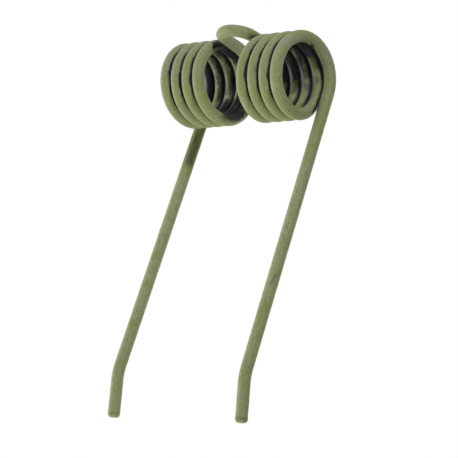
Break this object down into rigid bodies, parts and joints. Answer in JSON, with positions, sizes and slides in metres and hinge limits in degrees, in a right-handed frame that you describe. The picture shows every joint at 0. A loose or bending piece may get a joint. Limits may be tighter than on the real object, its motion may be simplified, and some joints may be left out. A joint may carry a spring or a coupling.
{
  "type": "pickup tine",
  "caption": "Torsion spring pickup tine of painted round wire: coils either side of a bolt loop, and long parallel prongs with bent tips.",
  "frame": {"origin": "on the axis of the coils, midway between them", "axes": "+X along the axis of the coils, -Z down the straight prongs, -Y towards the bolt loop's crown"},
  "size_m": [0.08, 0.0481, 0.1778],
  "materials": {
    "painted_wire": "satin olive green paint"
  },
  "bodies": {
    "root": {"tine": "painted_wire"}
  },
  "joints": []
}
